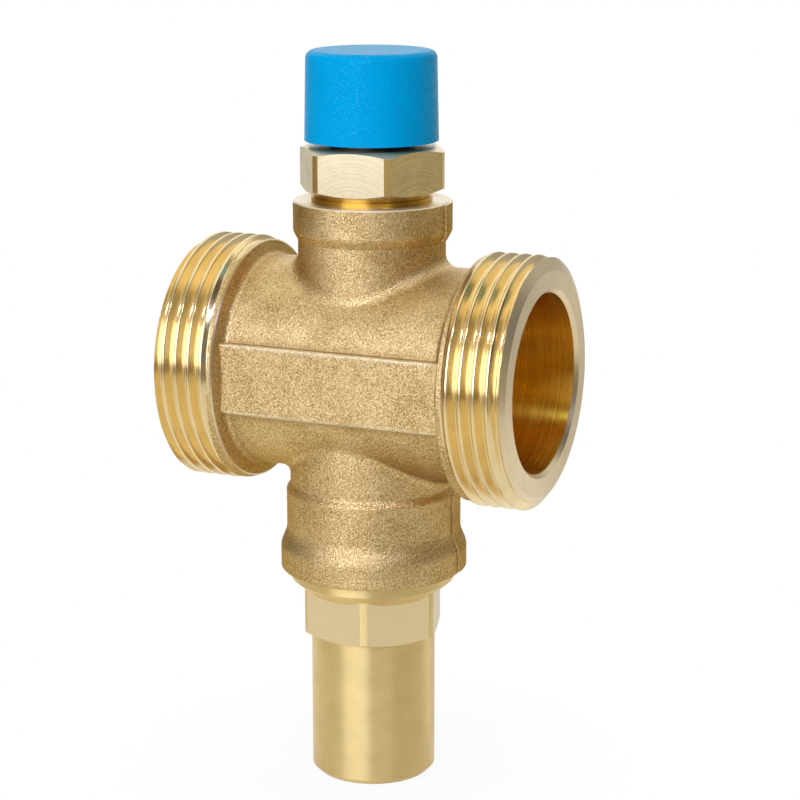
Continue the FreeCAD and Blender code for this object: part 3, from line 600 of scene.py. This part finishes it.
# Light by azimuth in degrees, from the front (-Y) towards +X: from the floor, the table beyond it,
# the horizon and the walls.
FRONT_GLOW = (0.74, 0.8, 1.02)
DARK_BAND = (0.16, 0.11, 0.06)
SIDE_GLOW = (0.66, 0.62, 0.48)
SIDE_TABLE = (0.3, 0.26, 0.18)
SIDE_HORIZON = (0.2, 0.17, 0.1)
DARK_WALL = (0.08, 0.06, 0.04)
FLOOR_LIGHT = [(-180, grey(0.74)), (-131, grey(1.0)), (-100, grey(1.0)), (-62, grey(0.9)), (-50, grey(0.85)),
               (8, grey(0.85)), (13, grey(0.76)), (70, grey(0.8)), (112, grey(0.8)), (142, grey(0.98)),
               (156, grey(0.8)), (180, grey(0.74))]
TABLE_LIGHT = [(-180, grey(0.5)), (-131, grey(0.45)), (-100, (0.2, 0.15, 0.07)), (-75, (0.3, 0.2, 0.08)),
               (-60, grey(0.75)), (-20, grey(0.8)), (-15, FRONT_GLOW), (6, FRONT_GLOW),
               (10, (0.4, 0.37, 0.3)), (70, (0.25, 0.22, 0.15)), (98, SIDE_TABLE), (108, SIDE_GLOW),
               (118, SIDE_TABLE), (145, grey(0.74)), (180, grey(0.6))]
HORIZON_LIGHT = [(-180, grey(0.5)), (-131, grey(0.45)), (-100, (0.14, 0.1, 0.05)), (-75, DARK_BAND),
                 (-22, DARK_BAND), (-17, FRONT_GLOW), (6, FRONT_GLOW), (10, (0.3, 0.26, 0.2)),
                 (98, SIDE_HORIZON), (108, SIDE_GLOW), (118, SIDE_HORIZON), (145, grey(0.5)),
                 (180, grey(0.5))]
WALL_LIGHT = [(-180, grey(0.3)), (-120, grey(0.06)), (-90, DARK_WALL), (-60, grey(0.35)), (-32, grey(0.8)),
              (8, grey(0.8)), (14, grey(0.3)), (80, DARK_WALL), (120, grey(0.08)), (146, grey(0.5)),
              (180, grey(0.3))]
CEILING_LIGHT = grey(1.15)
LAMP_COLOUR = (0.9, 1.0, 1.5)

# Where one zone of the room passes into the next: by the upward part of a direction, by its share along the
# ceiling's middle, which leans back, and by degrees from straight behind.
TABLE_TO_HORIZON = (-0.19, -0.14)
HORIZON_TO_WALLS = (-0.03, 0.1)
CEILING_BACK = 0.5
CEILING_UP = 0.866
WALLS_TO_CEILING = (0.64, 0.8)
SWEEP_START = 30
SWEEP_FULL = 18

# The floor, a little under the object. Near the object less of its glow is seen and mirrored.
FLOOR_RADIUS = 0.3
FLOOR_CORNERS = 96
FLOOR_DROP = 0.2 * MM
SHADOW_REACH = (0.015, 0.05)
SHADOW_GLOW = 0.92
MIRROR_REACH = (0.02, 0.06)
MIRROR_GLOW = 0.6

# Camera that the photo's edges were fitted to, and the points that the two lamps face.
CAMERA_PLACE = (0.161287, -0.353224, 0.158017)
CAMERA_FORWARD = Vector((-0.39341, 0.88955, -0.23222)).normalized()
CAMERA_UP = Vector((-0.09329, 0.21266, 0.97266))
LENS_LENGTH = 106.356
SENSOR_WIDTH = 36
CLIP_START = 0.01
AIM = Vector((0, 0, 0.065))
STRIP_AIM = AIM + Vector((0.3, 0, 0))
GLOSSY_BOUNCES = 8


def area_light(name, azimuth, elevation, distance, size, power, target):
    """Soft box that faces the target. Azimuth runs from the front (-Y) towards +X, in degrees."""
    light = bpy.data.lights.new(name, "AREA")
    light.shape = "RECTANGLE"
    light.size, light.size_y = size
    light.energy = power
    light.color = LAMP_COLOUR
    lamp = bpy.data.objects.new(name, light)
    bpy.context.collection.objects.link(lamp)
    az = math.radians(azimuth)
    el = math.radians(elevation)
    way = Vector((math.sin(az) * math.cos(el), -math.cos(az) * math.cos(el), math.sin(el)))
    lamp.location = target + way * distance
    lamp.rotation_euler = way.to_track_quat("Z", "Y").to_euler()


def by_azimuth(tree, where, stops):
    """Light that changes with the direction of a point from the middle of the scene."""
    x, y, _ = split(tree, where)
    turn = maths(tree, "ARCTAN2", x, maths(tree, "MULTIPLY", y, -1.0))
    share = maths(tree, "ADD", maths(tree, "DIVIDE", turn, 2 * math.pi), 0.5)
    return ramp(tree, share, [((azimuth + 180) / 360, colour) for azimuth, colour in stops])


def studio_world():
    """Room with table, horizon, walls, ceiling and a white sweep behind. The camera sees white everywhere."""
    world = bpy.data.worlds.new("studio")
    bpy.context.scene.world = world
    world.use_nodes = True
    tree = world.node_tree
    tree.nodes.clear()
    way = node(tree, "TexCoord").outputs["Generated"]
    up = split(tree, way)[2]
    table = by_azimuth(tree, way, TABLE_LIGHT)
    horizon = by_azimuth(tree, way, HORIZON_LIGHT)
    walls = by_azimuth(tree, way, WALL_LIGHT)
    room = mixed(tree, step(tree, up, TABLE_TO_HORIZON), table, horizon)
    room = mixed(tree, step(tree, up, HORIZON_TO_WALLS), room, walls)
    behind = Vector((CAMERA_FORWARD.x, CAMERA_FORWARD.y, 0)).normalized()
    ceiling_way = behind * CEILING_BACK + Vector((0, 0, CEILING_UP))
    overhead = vector_maths(tree, "DOT_PRODUCT", way, tuple(ceiling_way))
    room = mixed(tree, step(tree, overhead, WALLS_TO_CEILING), room, (*CEILING_LIGHT, 1))
    level = vector_maths(tree, "NORMALIZE", vector_maths(tree, "MULTIPLY", way, (1, 1, 0)))
    facing = vector_maths(tree, "DOT_PRODUCT", level, tuple(behind))
    sweep_span = (math.cos(math.radians(SWEEP_START)), math.cos(math.radians(SWEEP_FULL)))
    sweep = step(tree, facing, sweep_span)
    camera = node(tree, "LightPath").outputs["Is Camera Ray"]
    colour = mixed(tree, maths(tree, "MAXIMUM", sweep, camera), room, (*WHITE, 1))
    background = node(tree, "Background", {"Color": colour, "Strength": 1.0})
    node(tree, "OutputWorld", {"Surface": background.outputs[0]})


def floor_surface():
    """White for the camera, light by azimuth in mirrors, and pale matt that keeps the object's shadow."""
    made, tree = bare_material("floor_surface")
    where = place(tree)
    away = vector_maths(tree, "LENGTH", where)
    speck = noise(tree, where, 30 * MM, detail=2.0, roughness=0.5)
    matt = node(tree, "BsdfDiffuse", {"Color": between(tree, speck, WIDE_SPAN, grey(0.80), grey(0.84))})
    path = node(tree, "LightPath").outputs
    mirrored = maths(tree, "MAXIMUM", path["Is Glossy Ray"], path["Is Transmission Ray"])
    glow = mixed(tree, mirrored, (*WHITE, 1), by_azimuth(tree, where, FLOOR_LIGHT))
    bright = node(tree, "Emission", {"Color": glow, "Strength": 1.0})
    seen_share = remap(tree, away, SHADOW_REACH, (SHADOW_GLOW, 1.0), smooth=True)
    mirrored_share = remap(tree, away, MIRROR_REACH, (MIRROR_GLOW, 1.0), smooth=True)
    seen = maths(tree, "MULTIPLY", path["Is Camera Ray"], seen_share)
    mirrored = maths(tree, "MULTIPLY", mirrored, mirrored_share)
    share = maths(tree, "MAXIMUM", seen, mirrored)
    surface = node(tree, "MixShader", {0: share, 1: matt.outputs[0], 2: bright.outputs[0]})
    node(tree, "OutputMaterial", {"Surface": surface.outputs[0]})
    return made


def floor():
    """Pale round floor."""
    mesh = bpy.data.meshes.new("floor")
    turns = np.linspace(0, 2 * math.pi, FLOOR_CORNERS, endpoint=False)
    rim = [(FLOOR_RADIUS * math.cos(turn), FLOOR_RADIUS * math.sin(turn), -FLOOR_DROP) for turn in turns]
    mesh.from_pydata(rim, [], [tuple(range(len(rim)))])
    obj = bpy.data.objects.new("floor", mesh)
    bpy.context.collection.objects.link(obj)
    mesh.materials.append(floor_surface())


def photo_camera():
    """Camera at the photo's place."""
    data = bpy.data.cameras.new("photo_camera")
    data.sensor_width = SENSOR_WIDTH
    data.lens = LENS_LENGTH
    data.clip_start = CLIP_START
    camera = bpy.data.objects.new("photo_camera", data)
    bpy.context.collection.objects.link(camera)
    right = CAMERA_FORWARD.cross(CAMERA_UP).normalized()
    up = right.cross(CAMERA_FORWARD)
    turn = Matrix((right, up, -CAMERA_FORWARD)).transposed().to_4x4()
    camera.matrix_world = Matrix.Translation(CAMERA_PLACE) @ turn
    bpy.context.scene.camera = camera


area_light("key_box", azimuth=-8, elevation=19, distance=0.55, size=(0.5, 0.38), power=1.3, target=AIM)
area_light("strip_box", azimuth=0, elevation=53, distance=0.5, size=(0.5, 0.02), power=0.9, target=STRIP_AIM)
studio_world()
floor()
photo_camera()
bpy.context.scene.view_settings.view_transform = "Standard"
bpy.context.scene.cycles.glossy_bounces = GLOSSY_BOUNCES
